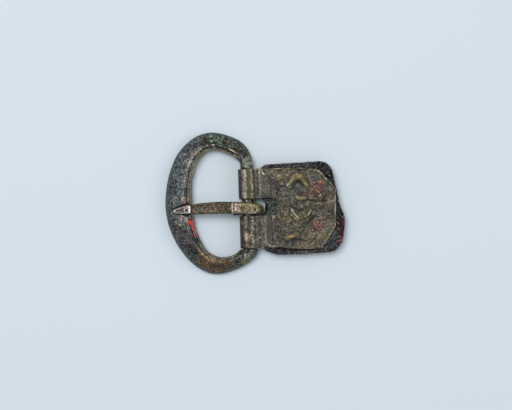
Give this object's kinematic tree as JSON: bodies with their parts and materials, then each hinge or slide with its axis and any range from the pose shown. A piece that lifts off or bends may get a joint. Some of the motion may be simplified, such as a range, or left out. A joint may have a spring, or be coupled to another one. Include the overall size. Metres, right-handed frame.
{
  "type": "belt buckle",
  "caption": "Cast D-shaped strap buckle with a hooked tongue, a folded and riveted sheet plate, and a remnant of its leather strap.",
  "frame": {"origin": "middle of the buckle's footprint, on the flat back that it lies on", "axes": "+X along the strap, from the loop to the plate's outer end; +Y along the hinge bar; +Z out of the buckle's front"},
  "size_m": [0.038, 0.0302, 0.0048],
  "materials": {
    "cast_bronze": "dark patina, worn to bare metal on its crest",
    "tongue_bronze": "patina, worn to bare metal",
    "sheet_bronze": "rough brown patina, golden on raised ornament",
    "strap_leather": "dry dark leather with fibrous brown edges",
    "rivet_copper": "red corroded copper"
  },
  "bodies": {
    "plate": {"hinge_plate": "sheet_bronze", "strap_remnant": "strap_leather", "rivet_inner": "rivet_copper", "rivet_outer_upper": "rivet_copper", "rivet_outer_lower": "rivet_copper"},
    "loop": {"loop_frame": "cast_bronze"},
    "tongue": {"tongue": "tongue_bronze"}
  },
  "joints": [
    {"name": "loop_hinge", "type": "hinge", "parent": "plate", "child": "loop", "pos_m": [-0.00146, -0.00113, 0.00205], "axis": [0, 1, 0], "range_deg": [-120, 30]},
    {"name": "tongue_hinge", "type": "hinge", "parent": "loop", "child": "tongue", "pos_m": [-0.00146, -0.00113, 0.00205], "axis": [0, 1, 0], "range_deg": [0, 90]}
  ]
}
